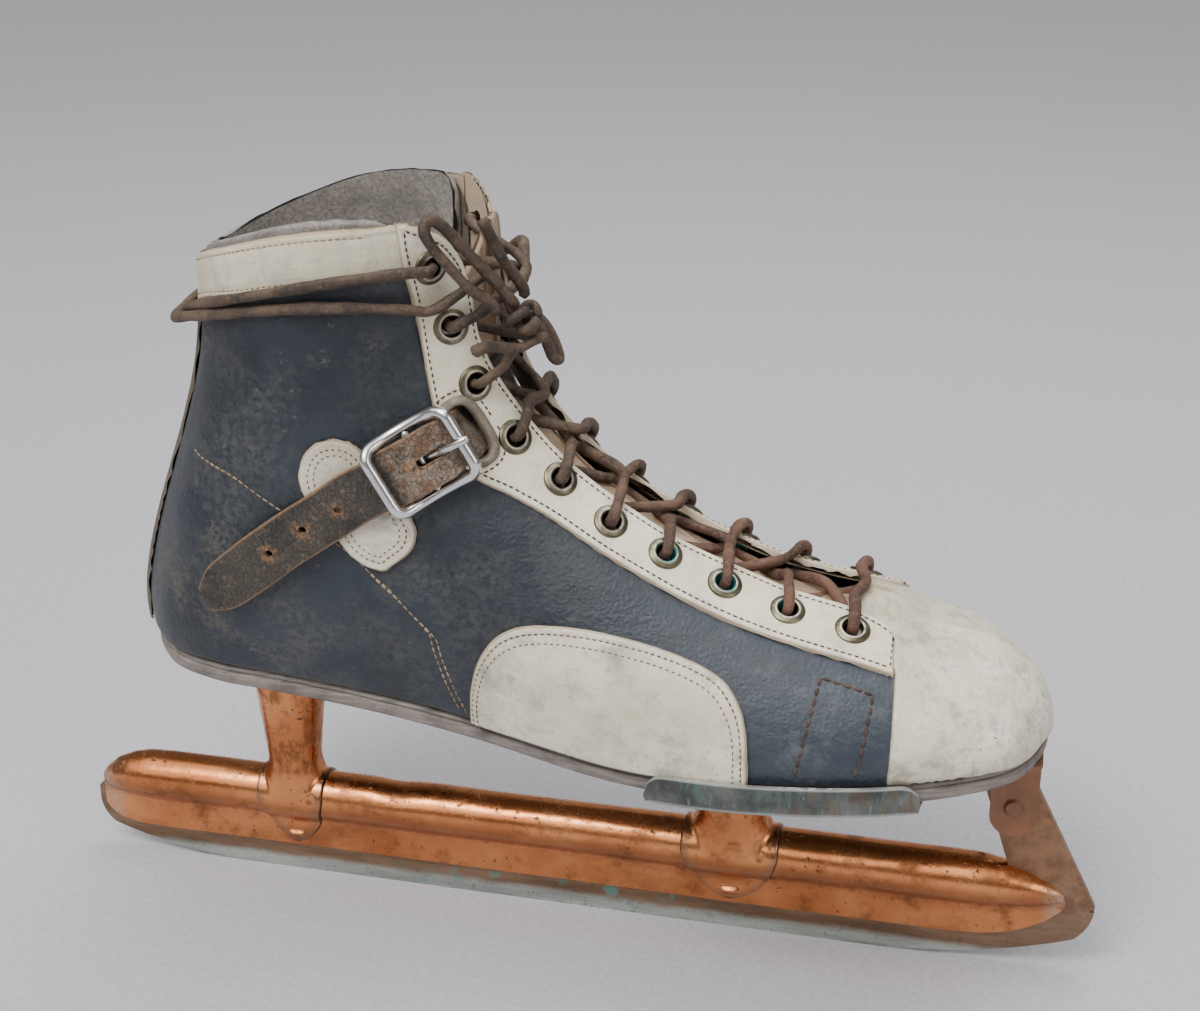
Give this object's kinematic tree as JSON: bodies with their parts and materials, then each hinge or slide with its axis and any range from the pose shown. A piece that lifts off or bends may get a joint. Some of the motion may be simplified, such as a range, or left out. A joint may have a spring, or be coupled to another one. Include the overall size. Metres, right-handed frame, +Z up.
{
  "type": "ice hockey skate",
  "caption": "Laced leather hockey boot for the right foot, riveted to a tube runner on two posts, with a buckled ankle strap.",
  "frame": {"origin": "on the ice, under the middle of the runner's flat edge", "axes": "+X towards the toe, +Y towards the inner side of the foot, +Z up"},
  "size_m": [0.33, 0.0972, 0.2375],
  "materials": {
    "blade_steel": "worn, brown film over bare steel",
    "copper_plate": "copper-plated steel, tarnished",
    "plate_steel": "dull, streaked with old plating",
    "rivet_steel": "dull",
    "sole_leather": "worn edge",
    "welt_leather": "worn edge",
    "shank_steel": "bare",
    "cork": "granular",
    "insole_leather": "smooth",
    "cream_leather": "worn and scuffed",
    "dark_leather": "waxed, scuffed",
    "stiffener": "hard",
    "lining_cloth": "brushed",
    "eyelet_brass": "nickel worn to brass, some green",
    "lace_leather": "dry, rolled",
    "strap_leather": "worn edge",
    "nickel": "worn plating"
  },
  "bodies": {
    "skate": {"runner_blade": "blade_steel", "runner_tube": "copper_plate", "front_post": "copper_plate", "rear_post": "copper_plate", "front_sole_plate": "plate_steel", "heel_plate": "plate_steel", "front_rivets": "rivet_steel", "heel_rivets": "rivet_steel", "toe_tab_rivet": "rivet_steel", "outsole": "sole_leather", "welt": "welt_leather", "shank": "shank_steel", "filler": "cork", "insole": "insole_leather", "toe_cap": "cream_leather", "toe_puff": "stiffener", "quarter_outer": "dark_leather", "quarter_inner": "dark_leather", "heel_counter": "stiffener", "lining": "lining_cloth", "eyestay_outer": "cream_leather", "eyestay_inner": "cream_leather", "collar_band": "cream_leather", "back_stay": "dark_leather", "side_patch_outer": "cream_leather", "side_patch_inner": "cream_leather", "ankle_patch_outer": "cream_leather", "ankle_patch_inner": "cream_leather", "tongue": "cream_leather", "eyelets_outer": "eyelet_brass", "eyelets_inner": "eyelet_brass", "lace": "lace_leather", "lace_wrap_outer": "lace_leather", "lace_wrap_inner": "lace_leather", "lace_knot": "lace_leather", "lace_loops": "lace_leather", "lace_ends": "lace_leather", "ankle_strap": "strap_leather", "buckle_chape": "strap_leather"},
    "buckle": {"buckle_frame": "nickel"},
    "prong": {"buckle_prong": "nickel"},
    "strap_end": {"strap_tail": "strap_leather"}
  },
  "joints": [
    {"name": "buckle_swing", "type": "hinge", "parent": "skate", "child": "buckle", "pos_m": [-0.03361, -0.03447, 0.16586], "axis": [-0.513, -0.0032, 0.8584], "range_deg": [-4, 4]},
    {"name": "prong_lift", "type": "hinge", "parent": "buckle", "child": "prong", "pos_m": [-0.03361, -0.03447, 0.16586], "axis": [0.513, 0.0032, -0.8584], "range_deg": [0, 25]},
    {"name": "strap_lift", "type": "hinge", "parent": "skate", "child": "strap_end", "pos_m": [-0.04816, -0.0405, 0.15714], "axis": [-0.513, -0.0032, 0.8584], "range_deg": [0, 50], "stiffness_Nm_per_rad": 0.01}
  ]
}
